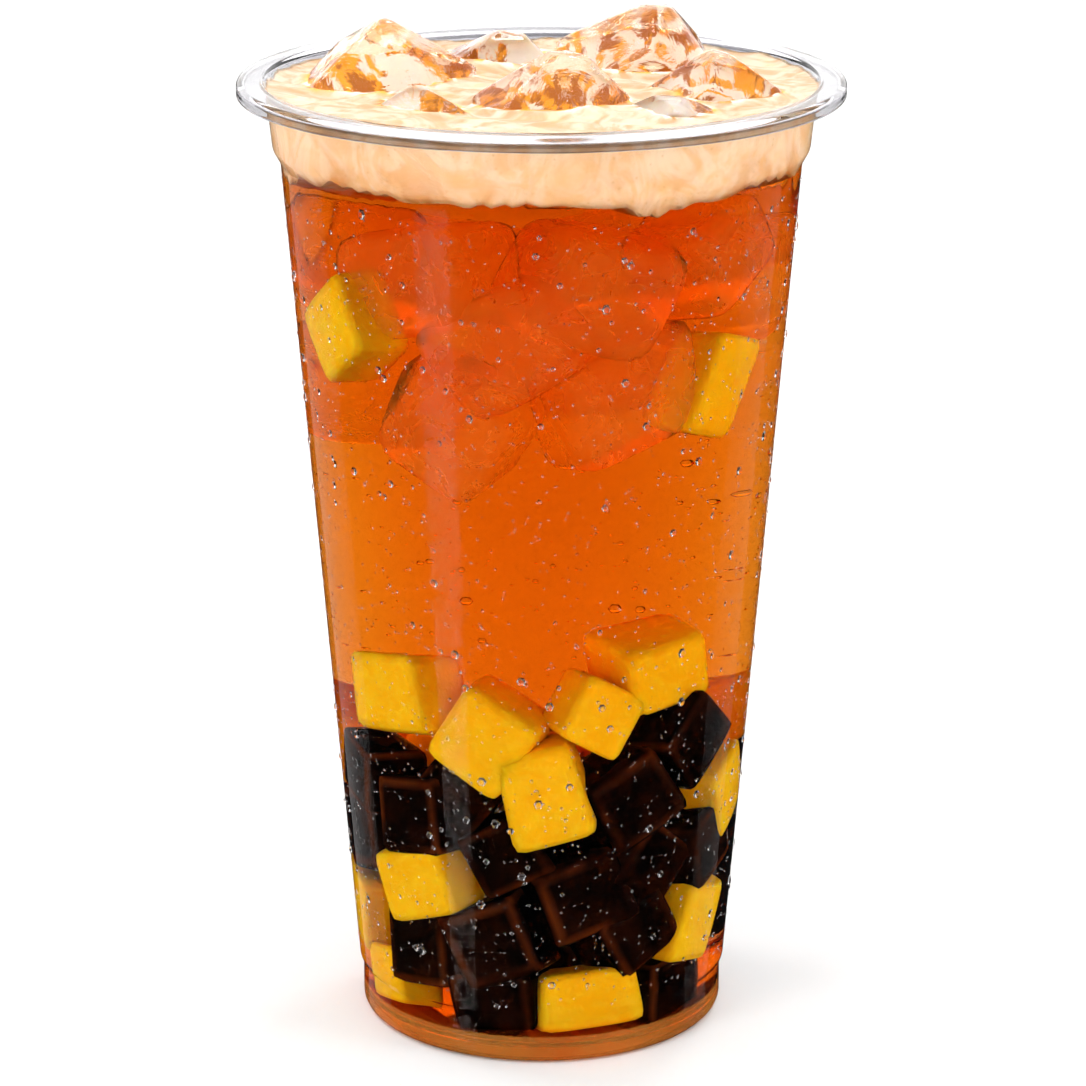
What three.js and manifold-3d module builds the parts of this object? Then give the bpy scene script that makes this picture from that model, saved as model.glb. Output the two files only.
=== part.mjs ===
// An iced fruit tea in a clear takeaway cup: the cup, the tea that fills it,
// a layer of milk foam on the tea, and the ice that stands out of the foam.
// Millimetres, +Z up. The origin is the centre of the foot ring, on the table.

import * as THREE from 'three';
import { mergeVertices } from 'three/addons/utils/BufferGeometryUtils.js';
import Module from 'manifold-3d';

// Cup: outside radii and heights, from the foot to the rim
const CUP_HEIGHT = 158.7;
const WALL = 0.8;
const FOOT_RADIUS = 30.25;
const FOOT_CORNER = 1.9;
const FOOT_TOP = 7.9;
const TAPER_BOTTOM_RADIUS = 30.85;
const TAPER_BOTTOM = 8.9;
const TAPER_TOP_RADIUS = 42.1;
const TAPER_TOP = 145.6;
const BAND_BOTTOM_RADIUS = 43.35;
const BAND_BOTTOM = 147.9;
const BAND_TOP_RADIUS = 44.25;

// Cup: the rolled rim
const RIM_RADIUS = 49;
const RIM_INNER_RADIUS = 44.9;
const RIM_ROUNDING = 0.9;
const LIP_DROP = 2.4;
const LIP_THICKNESS = 1.0;
const FLANGE_THICKNESS = 1.1;

// Cup: the floor, raised in the middle so that only a ring touches the table
const FOOT_RING_INNER_RADIUS = 26.2;
const RECESS_RADIUS = 24.4;
const RECESS_DEPTH = 2.2;
const FLOOR_THICKNESS = 0.9;
const FLOOR_CORNER = 1.4;

// Contents
const GAP = 0.3;
const FOAM_TOP = 156.8;
const FOAM_BOTTOM = 146.3;

// Waves of the foam's two surfaces: how many go round the cup, or the length that one radian takes
const FOAM_SWIRL = 0.35;
const SWIRL_ARMS = 2;
const SWIRL_LENGTH = 6;
const RIPPLE_SHARE = 0.6;
const RIPPLE_LENGTHS = { x: 5, y: 9, across: 6 };
const FOAM_LUMPS = 0.9;
const LUMP_WAVES = [{ round: 3, share: 0.7, phase: 1.2 }, { round: 7, share: 0.5, phase: 0 }];
const DENT_SHARE = 0.4;
const DENT_LENGTHS = { x: 6, y: 5 };

// Fineness of the faceted solids
const CUP_SIDES = 48;
const ARC_STEPS = 4;
const LAYER_SIDES = 36;
const LAYER_RINGS = 6;
const ICE_DETAIL = 4;
const MERGE_DISTANCE = 1e-4;

// Ice: how crisp the edges are, and how the part under the foam is shaped
const ICE_CRISPNESS = 30;
const ICE_FLARE = 0.5;
const ICE_UNDERSIDES = 5;
const ICE_UNEVENNESS = 0.3;
const ICE_FLAT_BOTTOM = 0.72;
const ICE_HEART = 0.25;
const ICE_SCATTER = 5;
const ICE_TOP_TILT = 0.12;
const SIDE_OFFSET = 0.5;

// Ice: x and y of the middle, half sizes at the foam, turn in degrees, sides, rise of the peak over
// the foam, how far the peak leans to +X for each millimetre of rise, the share of the rise where a
// flat facet cuts the peak, and depth under the foam
const ICE = [
  {
    name: 'ice_left', x: -25.2, y: 4.8, long: 13.6, wide: 9.6, turn: 22,
    sides: 4, rise: 11.6, lean: 0, top: 0.95, depth: 19,
  },
  {
    name: 'ice_front_left', x: -19.2, y: -16, long: 8.2, wide: 5.6, turn: -48,
    sides: 4, rise: 4.2, lean: 0, top: 0.85, depth: 12,
  },
  {
    name: 'ice_back_left', x: -7.4, y: 24.2, long: 9, wide: 6.8, turn: -8,
    sides: 5, rise: 6.6, lean: 0.4, top: 0.78, depth: 15,
  },
  {
    name: 'ice_centre', x: 1.4, y: -13.2, long: 11.8, wide: 10.2, turn: 10,
    sides: 5, rise: 11, lean: 0.25, top: 0.8, depth: 18,
  },
  {
    name: 'ice_back_right', x: 16.4, y: 22.6, long: 12.2, wide: 9.8, turn: -20,
    sides: 4, rise: 12, lean: 0.3, top: 0.86, depth: 20,
  },
  {
    name: 'ice_right', x: 28, y: -3.2, long: 10.2, wide: 8.2, turn: -30,
    sides: 5, rise: 8, lean: 0, top: 0.84, depth: 16,
  },
  {
    name: 'ice_front_right', x: 20.2, y: -18.6, long: 7, wide: 5.4, turn: -24,
    sides: 5, rise: 3.8, lean: 0, top: 0.56, depth: 11,
  },
];

const FINISHES = {
  cup: { color: 0xe9edf2, roughness: 0.08, metalness: 0 },
  tea: { color: 0xd96a12, roughness: 0.1, metalness: 0 },
  foam: { color: 0xfae3bd, roughness: 0.6, metalness: 0 },
  ice: { color: 0xf3e2cd, roughness: 0.08, metalness: 0 },
};

const wasm = await Module();
wasm.setup();

// Outside of the cup's wall, from the top of the foot to the flange
const WALL_OUTLINE = [
  [FOOT_TOP, FOOT_RADIUS],
  [TAPER_BOTTOM, TAPER_BOTTOM_RADIUS],
  [TAPER_TOP, TAPER_TOP_RADIUS],
  [BAND_BOTTOM, BAND_BOTTOM_RADIUS],
  [CUP_HEIGHT - LIP_DROP, BAND_TOP_RADIUS],
];

// A quarter turn of an arc about a centre, as points of a profile
function arc(centreRadius, centreHeight, radius, from, to) {
  const points = [];
  for (let step = 0; step <= ARC_STEPS; step += 1) {
    const angle = THREE.MathUtils.degToRad(from + (to - from) * step / ARC_STEPS);
    points.push(new THREE.Vector2(
      centreRadius + radius * Math.cos(angle),
      centreHeight + radius * Math.sin(angle),
    ));
  }
  return points;
}

// The cup's inside from the middle of the floor up to the rim, set in by a clearance
function insideProfile(clearance) {
  const inset = WALL + clearance;
  const floor = RECESS_DEPTH + FLOOR_THICKNESS + clearance;
  const corner = FOOT_RADIUS - inset - FLOOR_CORNER;
  const wall = WALL_OUTLINE.map(([height, radius]) => new THREE.Vector2(radius - inset, height));
  return [
    new THREE.Vector2(0, floor),
    ...arc(corner, floor + FLOOR_CORNER, FLOOR_CORNER, -90, 0),
    ...wall,
  ];
}

// The cup's outside from the middle of the recess under it, over the rim, to the inside of the flange
function outsideProfile() {
  const lipBottom = CUP_HEIGHT - LIP_DROP;
  const wall = WALL_OUTLINE.map(([height, radius]) => new THREE.Vector2(radius, height));
  return [
    new THREE.Vector2(0, RECESS_DEPTH),
    new THREE.Vector2(RECESS_RADIUS, RECESS_DEPTH),
    new THREE.Vector2(FOOT_RING_INNER_RADIUS, 0),
    ...arc(FOOT_RADIUS - FOOT_CORNER, FOOT_CORNER, FOOT_CORNER, -90, 0),
    ...wall,
    new THREE.Vector2(BAND_TOP_RADIUS + LIP_THICKNESS, CUP_HEIGHT - FLANGE_THICKNESS),
    new THREE.Vector2(RIM_RADIUS - LIP_THICKNESS, CUP_HEIGHT - FLANGE_THICKNESS),
    new THREE.Vector2(RIM_RADIUS - LIP_THICKNESS, lipBottom),
    new THREE.Vector2(RIM_RADIUS - LIP_THICKNESS / 4, lipBottom),
    ...arc(RIM_RADIUS - RIM_ROUNDING, CUP_HEIGHT - RIM_ROUNDING, RIM_ROUNDING, 0, 90),
    new THREE.Vector2(RIM_INNER_RADIUS, CUP_HEIGHT),
  ];
}

function cupGeometry() {
  const profile = [...outsideProfile(), ...insideProfile(0).reverse()];
  return new THREE.LatheGeometry(profile, CUP_SIDES).rotateX(Math.PI / 2);
}

// The room inside the cup, clear of its wall by the gap and closed level with the rim
function roomGeometry() {
  const mouth = BAND_TOP_RADIUS - WALL - GAP;
  const lid = [new THREE.Vector2(mouth, CUP_HEIGHT), new THREE.Vector2(0, CUP_HEIGHT)];
  return new THREE.LatheGeometry([...insideProfile(GAP), ...lid], CUP_SIDES).rotateX(Math.PI / 2);
}

// Low swirls on top of the foam
function foamTop(x, y) {
  const turn = Math.atan2(y, x);
  const reach = Math.hypot(x, y);
  const swirl = Math.sin(SWIRL_ARMS * turn + reach / SWIRL_LENGTH);
  const ripple = Math.sin(x / RIPPLE_LENGTHS.x + y / RIPPLE_LENGTHS.y) * Math.cos(y / RIPPLE_LENGTHS.across);
  return FOAM_TOP + FOAM_SWIRL * (swirl + RIPPLE_SHARE * ripple);
}

// The uneven line where the foam sinks into the tea
function foamBottom(x, y) {
  const turn = Math.atan2(y, x);
  let lumps = DENT_SHARE * Math.cos(x / DENT_LENGTHS.x) * Math.cos(y / DENT_LENGTHS.y);
  for (const wave of LUMP_WAVES) {
    lumps += wave.share * Math.sin(wave.round * turn + wave.phase);
  }
  return FOAM_BOTTOM + FOAM_LUMPS * lumps;
}

function teaTop(x, y) {
  return foamBottom(x, y) - GAP;
}

// A round slab, wider than the cup, between two uneven surfaces: a flat one from -1 to 1, then moved
function slabGeometry(bottomAt, topAt) {
  const profile = [];
  for (let ring = 0; ring <= LAYER_RINGS; ring += 1) {
    profile.push(new THREE.Vector2(RIM_RADIUS * ring / LAYER_RINGS, -1));
  }
  const top = profile.map((point) => new THREE.Vector2(point.x, 1)).reverse();
  const geometry = new THREE.LatheGeometry([...profile, ...top], LAYER_SIDES).rotateX(Math.PI / 2);
  const place = geometry.getAttribute('position');
  for (let i = 0; i < place.count; i += 1) {
    const surface = place.getZ(i) > 0 ? topAt : bottomAt;
    place.setZ(i, surface(place.getX(i), place.getY(i)));
  }
  return geometry;
}

// The flat faces of one lump of ice, each as a direction and its distance from the lump's heart
function iceFaces(ice, heart) {
  const faces = [];
  const turn = THREE.MathUtils.degToRad(ice.turn);
  const addFace = (normal, reach) => {
    const length = normal.length();
    const distance = (reach - normal.dot(heart)) / length;
    faces.push({ direction: normal.divideScalar(length), distance });
  };
  const addRing = (count, flare, slope, lean, offset) => {
    for (let k = 0; k < count; k += 1) {
      const uneven = ICE_UNEVENNESS * Math.sin(ICE_SCATTER * k + ice.turn);
      const azimuth = (k + offset + uneven) * 2 * Math.PI / count;
      const reach = Math.hypot(ice.long * Math.cos(azimuth), ice.wide * Math.sin(azimuth)) + flare;
      const across = Math.cos(azimuth + turn) / reach;
      addFace(new THREE.Vector3(across, Math.sin(azimuth + turn) / reach, slope - lean * across), 1);
    }
  };
  addRing(ice.sides, 0, 1 / ice.rise, ice.lean, SIDE_OFFSET);
  addRing(ice.sides, ICE_FLARE, 0, 0, SIDE_OFFSET);
  addRing(ICE_UNDERSIDES, ICE_FLARE, -1 / ice.depth, 0, 0);
  const tilt = new THREE.Vector3(Math.cos(turn), Math.sin(turn), 0).multiplyScalar(ICE_TOP_TILT);
  addFace(tilt.setZ(1), ice.top * ice.rise);
  addFace(new THREE.Vector3(0, 0, -1), ICE_FLAT_BOTTOM * ice.depth);
  return faces;
}

// A lump of ice: a ball of rays from the heart, each as long as the rounded corner of the faces allows
function iceGeometry(ice, growth) {
  const heart = new THREE.Vector3(0, 0, -ICE_HEART * ice.depth);
  const faces = iceFaces(ice, heart);
  const geometry = new THREE.IcosahedronGeometry(1, ICE_DETAIL);
  const place = geometry.getAttribute('position');
  const ray = new THREE.Vector3();
  for (let i = 0; i < place.count; i += 1) {
    ray.fromBufferAttribute(place, i).normalize();
    let sum = 0;
    for (const face of faces) {
      sum += Math.max(0, ray.dot(face.direction) / (face.distance + growth)) ** ICE_CRISPNESS;
    }
    ray.multiplyScalar(sum ** (-1 / ICE_CRISPNESS)).add(heart);
    place.setXYZ(i, ray.x + ice.x, ray.y + ice.y, ray.z + FOAM_TOP);
  }
  return geometry;
}

// Geometry to a solid that can be cut, and back again
function toSolid(geometry) {
  geometry.deleteAttribute('normal');
  geometry.deleteAttribute('uv');
  const merged = mergeVertices(geometry, MERGE_DISTANCE);
  const corners = merged.getIndex().array;
  const kept = [];
  for (let i = 0; i < corners.length; i += 3) {
    const [a, b, c] = corners.slice(i, i + 3);
    if (a !== b && b !== c && c !== a) {
      kept.push(a, b, c);
    }
  }
  return new wasm.Manifold(new wasm.Mesh({
    numProp: 3,
    vertProperties: new Float32Array(merged.getAttribute('position').array),
    triVerts: new Uint32Array(kept),
  }));
}

function toGeometry(solid) {
  const { vertProperties, triVerts } = solid.getMesh();
  const geometry = new THREE.BufferGeometry();
  geometry.setAttribute('position', new THREE.BufferAttribute(vertProperties, 3));
  geometry.setIndex(new THREE.BufferAttribute(triVerts, 1));
  geometry.computeVertexNormals();
  return geometry;
}

// The part of the cup's room between two surfaces, cut round the ice
function layerSolid(bottomAt, topAt) {
  let solid = toSolid(roomGeometry()).intersect(toSolid(slabGeometry(bottomAt, topAt)));
  for (const ice of ICE) {
    solid = solid.subtract(toSolid(iceGeometry(ice, GAP)));
  }
  return solid;
}

function piece(name, solid, finish) {
  const mesh = new THREE.Mesh(toGeometry(solid), new THREE.MeshStandardMaterial(finish));
  mesh.name = name;
  return mesh;
}

const drink = new THREE.Group();
drink.name = 'iced_tea';
drink.add(piece('cup', toSolid(cupGeometry()), FINISHES.cup));
drink.add(piece('tea', layerSolid(() => 0, teaTop), FINISHES.tea));
drink.add(piece('foam', layerSolid(foamBottom, foamTop), FINISHES.foam));
for (const ice of ICE) {
  drink.add(piece(ice.name, toSolid(iceGeometry(ice, 0)), FINISHES.ice));
}

export default drink;
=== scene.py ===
# %% [markdown]
# # A cup of iced fruit tea with milk foam
#
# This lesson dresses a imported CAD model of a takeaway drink: a clear cup, the
# tea in it, a layer of milk foam and the ice that stands out of the foam.
# The CAD holds the sizes. Here each piece is made again as a fine surface,
# worked out with numpy, and gets the finish that the real thing has.
# What is wholly sunk in the tea (mango, jelly, more ice) is made here only.

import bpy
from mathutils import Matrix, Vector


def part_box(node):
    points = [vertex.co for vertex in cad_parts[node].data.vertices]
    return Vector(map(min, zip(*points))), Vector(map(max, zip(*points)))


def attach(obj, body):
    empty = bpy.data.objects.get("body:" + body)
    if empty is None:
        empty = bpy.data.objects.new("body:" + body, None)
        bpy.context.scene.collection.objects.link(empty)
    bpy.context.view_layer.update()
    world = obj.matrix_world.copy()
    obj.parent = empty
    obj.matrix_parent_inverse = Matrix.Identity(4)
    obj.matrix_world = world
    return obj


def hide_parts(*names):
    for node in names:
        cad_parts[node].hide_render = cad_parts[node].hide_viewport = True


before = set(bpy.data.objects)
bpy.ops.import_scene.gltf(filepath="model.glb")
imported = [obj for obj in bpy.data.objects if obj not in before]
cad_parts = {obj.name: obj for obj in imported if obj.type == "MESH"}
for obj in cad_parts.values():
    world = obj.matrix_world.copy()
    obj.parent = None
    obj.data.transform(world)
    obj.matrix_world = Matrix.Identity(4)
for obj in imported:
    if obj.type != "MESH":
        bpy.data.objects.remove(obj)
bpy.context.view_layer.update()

# %% [markdown]
# ## Sizes
#
# The scene is in metres, but a cup is easier to think about in millimetres, so every size below is in
# millimetres and is scaled once, when a mesh is made. The rim's radius and height are read from the cup's
# box in model.glb. The rest repeats the driving sizes of the CAD model.

# %% Sizes of the cup and of its contents
import math

import bpy
import numpy as np

MM = 0.001
RIM_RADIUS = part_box("cup")[1][0] / MM
CUP_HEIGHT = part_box("cup")[1][2] / MM
WALL = 0.8
LIP_DROP = 2.4
FOAM_TOP = 156.8
FOAM_BOTTOM = 146.3
FLOOR_TOP = 3.1
INTO_WALL = 0.3
LIP_BOTTOM = CUP_HEIGHT - LIP_DROP
STEP_LOW, STEP_HIGH = 7.9, 8.9
BAND_LOW, BAND_HIGH = 145.6, 147.9
FOOT_RADIUS, STEP_RADIUS, TAPER_RADIUS = 30.25, 30.85, 42.1
BAND_RADIUS, NECK_RADIUS, LIP_RADIUS = 43.35, 44.25, 45.7
WALL_HEIGHTS = np.array([0, STEP_LOW, STEP_HIGH, BAND_LOW, BAND_HIGH, LIP_BOTTOM, CUP_HEIGHT])
WALL_RADII = np.array(
    [FOOT_RADIUS, FOOT_RADIUS, STEP_RADIUS, TAPER_RADIUS, BAND_RADIUS, NECK_RADIUS, LIP_RADIUS]
)


def wall_inside(height):
    """Inner radius of the cup at a height: the outside's straight runs, less the wall."""
    return np.interp(height, WALL_HEIGHTS, WALL_RADII) - WALL


print(f"rim {2 * RIM_RADIUS:.1f} mm across, {CUP_HEIGHT:.1f} mm high")

# %% [markdown]
# ## Turning numbers into meshes
#
# Nearly every piece is a grid: rows along a profile, columns around an axis.
# One function lists the four-cornered faces of such a grid, and one puts the
# finished arrays into Blender. Ends that lie on the axis become a single pole
# point with a fan of triangles, so no surface is left open.

# %% Grid faces, lathes and placing a piece


def ring_quads(rows, columns):
    """Faces of a grid whose columns close into a ring, corner by corner, facing outwards."""
    start = np.arange(rows - 1)[:, None] * columns
    here = np.arange(columns)[None, :]
    beside = (here + 1) % columns
    corners = [start + here, start + beside, start + columns + beside, start + columns + here]
    return np.stack(corners, axis=-1).reshape(-1, 4)


def closed_faces(rows, columns):
    """Faces of a ring grid that a pole closes at each end; the poles are the last two points."""
    here = np.arange(columns)
    beside = (here + 1) % columns
    last = (rows - 1) * columns
    low = np.stack([np.full(columns, rows * columns), beside, here], axis=-1)
    high = np.stack([np.full(columns, rows * columns + 1), last + here, last + beside], axis=-1)
    return ring_quads(rows, columns).tolist() + low.tolist() + high.tolist()


def turned(profile, sides):
    """A profile of (radius, height) turned about z: x = r cos a, y = r sin a; its ends are the poles."""
    angle = np.linspace(0, 2 * np.pi, sides, endpoint=False)
    radius, height = profile[1:-1, :1], profile[1:-1, 1:]
    ring = np.stack([radius * np.cos(angle), radius * np.sin(angle), height + 0 * angle], axis=-1)
    poles = np.array([[0, 0, profile[0, 1]], [0, 0, profile[-1, 1]]])
    return np.vstack([ring.reshape(-1, 3), poles]), closed_faces(len(profile) - 2, sides)


def put_piece(name, points, faces, material, slot, replaced=()):
    """Makes a mesh of millimetre points, rides it on the only body and hides the CAD parts that it replaces.
    """
    mesh = bpy.data.meshes.new(name)
    mesh.from_pydata((np.asarray(points) * MM).tolist(), [], faces)
    mesh.shade_smooth()
    mesh.materials.append(material)
    piece = bpy.data.objects.new(name, mesh)
    bpy.context.scene.collection.objects.link(piece)
    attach(piece, "root")
    if replaced:
        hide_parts(*replaced)
    print(f"{name}: {len(mesh.vertices)} points, {len(mesh.polygons)} faces")
    return piece


# %% [markdown]
# ## Shader helpers
#
# Patchy colour and small pits come back in nearly every finish of this drink: foam, fruit, jelly and ice.
# Each is one node group with named sockets, read from Object coordinates, so the pattern stays on the piece.
# The Principled shaders stay in the materials themselves.

# %% Node groups for mottling and pits


def group_with(name, inputs, outputs):
    """A new shader node group with float inputs (name, default) and float outputs."""
    group = bpy.data.node_groups.new(name, "ShaderNodeTree")
    for label, value in inputs:
        socket = group.interface.new_socket(label, in_out="INPUT", socket_type="NodeSocketFloat")
        socket.default_value = value
    for label in outputs:
        group.interface.new_socket(label, in_out="OUTPUT", socket_type="NodeSocketFloat")
    entry = group.nodes.new("NodeGroupInput")
    leave = group.nodes.new("NodeGroupOutput")
    place = group.nodes.new("ShaderNodeTexCoord")
    return group, entry, leave, place


def make_mottle_group():
    """Soft patches: a noise of the given scale, cut between two levels and stretched to 0..1."""
    sockets = [("Scale", 100.0), ("Low", 0.4), ("High", 0.6), ("Warp", 0.0)]
    group, entry, leave, place = group_with("soft_mottle", sockets, ["Mask"])
    noise = group.nodes.new("ShaderNodeTexNoise")
    spread = group.nodes.new("ShaderNodeMapRange")
    noise.inputs["Detail"].default_value = 5.0
    spread.interpolation_type = "SMOOTHSTEP"
    group.links.new(place.outputs["Object"], noise.inputs["Vector"])
    group.links.new(entry.outputs["Scale"], noise.inputs["Scale"])
    group.links.new(entry.outputs["Warp"], noise.inputs["Distortion"])
    group.links.new(noise.outputs["Fac"], spread.inputs["Value"])
    group.links.new(entry.outputs["Low"], spread.inputs["From Min"])
    group.links.new(entry.outputs["High"], spread.inputs["From Max"])
    group.links.new(spread.outputs["Result"], leave.inputs["Mask"])
    return group


def make_pit_group():
    """Round pits: a mask that rises to 1 as the distance to a scattered cell centre falls below a radius."""
    group, entry, leave, place = group_with("round_pits", [("Scale", 600.0), ("Radius", 0.2)], ["Mask"])
    cells = group.nodes.new("ShaderNodeTexVoronoi")
    spread = group.nodes.new("ShaderNodeMapRange")
    spread.interpolation_type = "SMOOTHSTEP"
    spread.inputs["From Max"].default_value = 0.0
    group.links.new(place.outputs["Object"], cells.inputs["Vector"])
    group.links.new(entry.outputs["Scale"], cells.inputs["Scale"])
    group.links.new(cells.outputs["Distance"], spread.inputs["Value"])
    group.links.new(entry.outputs["Radius"], spread.inputs["From Min"])
    group.links.new(spread.outputs["Result"], leave.inputs["Mask"])
    return group


MOTTLE = make_mottle_group()
PITS = make_pit_group()

# %% A small kit for building a material


class Finish:
    """One material with its Principled shader, and short ways to add patterns to it."""

    def __init__(self, name, **values):
        self.material = bpy.data.materials.new(name)
        self.material.use_nodes = True
        self.nodes = self.material.node_tree.nodes
        self.links = self.material.node_tree.links
        self.shader = self.nodes["Principled BSDF"]
        for socket, value in values.items():
            self.shader.inputs[socket.replace("_", " ")].default_value = value

    def pattern(self, group, **values):
        """The mask of one of the node groups above, with its inputs set."""
        node = self.nodes.new("ShaderNodeGroup")
        node.node_tree = group
        for socket, value in values.items():
            node.inputs[socket].default_value = value
        return node.outputs["Mask"]

    def attribute(self, name):
        """A number that the mesh keeps for each of its points."""
        node = self.nodes.new("ShaderNodeAttribute")
        node.attribute_name = name
        return node.outputs["Fac"]

    def blend(self, mask, first, second):
        """A colour between two colours or sockets, by a mask."""
        node = self.nodes.new("ShaderNodeMix")
        node.data_type = "RGBA"
        self.links.new(mask, node.inputs["Factor"])
        for label, colour in (("A", first), ("B", second)):
            socket = next(s for s in node.inputs if s.name == label and s.type == "RGBA")
            if isinstance(colour, tuple):
                socket.default_value = (*colour, 1.0)
            else:
                self.links.new(colour, socket)
        return next(s for s in node.outputs if s.type == "RGBA")

    def times(self, first, second):
        """The product of two masks."""
        node = self.nodes.new("ShaderNodeMath")
        node.operation = "MULTIPLY"
        self.links.new(first, node.inputs[0])
        self.links.new(second, node.inputs[1])
        return node.outputs["Value"]

    def spread(self, value, low, high):
        """A 0..1 mask stretched to run from low to high."""
        node = self.nodes.new("ShaderNodeMapRange")
        node.inputs["To Min"].default_value = low
        node.inputs["To Max"].default_value = high
        self.links.new(value, node.inputs["Value"])
        return node.outputs["Result"]

    def bump(self, height, strength, distance_mm):
        """Shading as if the mask raised the surface by a distance in millimetres."""
        node = self.nodes.new("ShaderNodeBump")
        node.inputs["Strength"].default_value = strength
        node.inputs["Distance"].default_value = distance_mm * MM
        self.links.new(height, node.inputs["Height"])
        self.links.new(node.outputs["Normal"], self.shader.inputs["Normal"])

    def feed(self, socket, source):
        """Links a pattern to a socket of the Principled shader."""
        self.links.new(source, self.shader.inputs[socket])

    def absorb(self, colour, per_metre):
        """Plain absorption inside the closed mesh: light falls off by per_metre times (1 - colour)."""
        node = self.nodes.new("ShaderNodeVolumeAbsorption")
        node.inputs["Color"].default_value = (*colour, 1.0)
        node.inputs["Density"].default_value = per_metre
        self.links.new(node.outputs["Volume"], self.nodes["Material Output"].inputs["Volume"])


# %% [markdown]
# ## Camera, floor and light
#
# The camera was fitted to the outline of the drink in the photograph: a long
# lens from about 0.73 m, looking down 17 degrees at the middle of the cup.
# The drink glows because light comes through it from a pale floor and a
# bright room. The floor is hidden from mirror reflections, so the front of the
# cup mirrors the dark half of the room under the floor, and tall strips of
# light there draw the bright stripes down its wall.

# %% Camera
CAMERA_DISTANCE = 729.0
CAMERA_DOWN = math.radians(16.86)
CAMERA_AIM = (0.25, 0.0, 80.47)
CAMERA_LENS = 145.8

camera_data = bpy.data.cameras.new("camera")
camera_data.lens = CAMERA_LENS
camera_data.sensor_width = 36.0
camera_data.clip_end = 50.0
camera = bpy.data.objects.new("camera", camera_data)
camera.location = (
    CAMERA_AIM[0] * MM,
    -CAMERA_DISTANCE * math.cos(CAMERA_DOWN) * MM,
    (CAMERA_AIM[2] + CAMERA_DISTANCE * math.sin(CAMERA_DOWN)) * MM,
)
camera.rotation_euler = (math.pi / 2 - CAMERA_DOWN, 0, 0)
bpy.context.scene.collection.objects.link(camera)
bpy.context.scene.camera = camera

# %% [markdown]
# The floor is a wide sheet of pale card with a faint grain. Its colour turns
# nearly black for light that has already bounced off something glossy,
# because the tea's surface would otherwise carry a white veil of floor.

# %% Floor
FLOOR_HALF = 4000.0
FLOOR_GREYS = (0.69, 0.69, 0.69), (0.72, 0.72, 0.72)
FLOOR_IN_GLOSS = (0.01, 0.01, 0.01)

floor_finish = Finish("pale_floor", Roughness=0.6)
floor_finish.shader.inputs["Specular IOR Level"].default_value = 0.0
floor_grain = floor_finish.pattern(MOTTLE, Scale=3.0)
floor_colour = floor_finish.blend(floor_grain, *FLOOR_GREYS)
floor_path = floor_finish.nodes.new("ShaderNodeLightPath")
floor_shade = floor_finish.blend(floor_path.outputs["Glossy Depth"], floor_colour, FLOOR_IN_GLOSS)
floor_finish.feed("Base Color", floor_shade)
floor_mesh = bpy.data.meshes.new("floor")
floor_corners = np.array([[-1, -1, 0], [1, -1, 0], [1, 1, 0], [-1, 1, 0]]) * FLOOR_HALF * MM
floor_mesh.from_pydata(floor_corners.tolist(), [], [[0, 1, 2, 3]])
floor_mesh.materials.append(floor_finish.material)
floor = bpy.data.objects.new("floor", floor_mesh)
floor.visible_glossy = False
bpy.context.scene.collection.objects.link(floor)

# %% [markdown]
# The room is a plain gradient: brightest at the horizon, dimmer overhead and
# dark below the floor. A picture of a studio could light the cup as well, but
# two ramps over the height of a direction are easier to tune.

# %% Room light
HORIZON, ZENITH = 2.5, 0.7
UNDER_FLOOR = 0.01
SKIRTING = (-0.06, 0.02)

world = bpy.data.worlds.new("room")
world.use_nodes = True
world_nodes, world_links = world.node_tree.nodes, world.node_tree.links
look = world_nodes.new("ShaderNodeTexCoord")
split = world_nodes.new("ShaderNodeSeparateXYZ")
world_links.new(look.outputs["Generated"], split.inputs["Vector"])


def by_height(low, high, at_low, at_high):
    """A value that runs from one to another as the direction climbs from low to high."""
    node = world_nodes.new("ShaderNodeMapRange")
    for socket, value in zip(("From Min", "From Max", "To Min", "To Max"), (low, high, at_low, at_high)):
        node.inputs[socket].default_value = value
    world_links.new(split.outputs["Z"], node.inputs["Value"])
    return node.outputs["Result"]


product = world_nodes.new("ShaderNodeMath")
product.operation = "MULTIPLY"
world_links.new(by_height(0.0, 1.0, HORIZON, ZENITH), product.inputs[0])
world_links.new(by_height(*SKIRTING, UNDER_FLOOR / HORIZON, 1.0), product.inputs[1])
world_nodes["Background"].inputs["Color"].default_value = (1.0, 1.0, 1.0, 1.0)
world_links.new(product.outputs["Value"], world_nodes["Background"].inputs["Strength"])
bpy.context.scene.world = world

# %% [markdown]
# The strips stand below the level of the floor, where only reflections find
# them. The windows hang above, lean down at the drink and make it sparkle.
# A strip's energy is its radiance times pi times its area.

# %% Strips of light
STRIP_DISTANCE, STRIP_LOW, STRIP_HIGH = 1.2, -1.1, 0.0
STRIPS = {
    "strip_left_front": (-50, 0.36, 5.5),
    "strip_left_back": (-132, 0.8, 0.6),
    "strip_right_back": (118, 0.6, 0.5),
}
WINDOW_AZIMUTHS = (-35, 60, 150, -120)
WINDOW_DISTANCE, WINDOW_WIDTH, WINDOW_LOW, WINDOW_HIGH = 0.7, 0.25, 0.95, 1.2
WINDOW_RADIANCE, WINDOW_LEAN = 14.0, 52


def strip_light(name, azimuth, distance, width, low, high, radiance, lean=0.0):
    """An area light that faces the cup, at an azimuth from the camera's side (right is positive)."""
    turn = math.radians(azimuth)
    light = bpy.data.lights.new(name, "AREA")
    light.shape = "RECTANGLE"
    light.size = width
    light.size_y = high - low
    light.energy = radiance * math.pi * light.size * light.size_y
    holder = bpy.data.objects.new(name, light)
    holder.location = (distance * math.sin(turn), -distance * math.cos(turn), (low + high) / 2)
    holder.rotation_euler = (math.pi / 2 - math.radians(lean), 0, turn)
    holder.visible_camera = False
    bpy.context.scene.collection.objects.link(holder)


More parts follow.
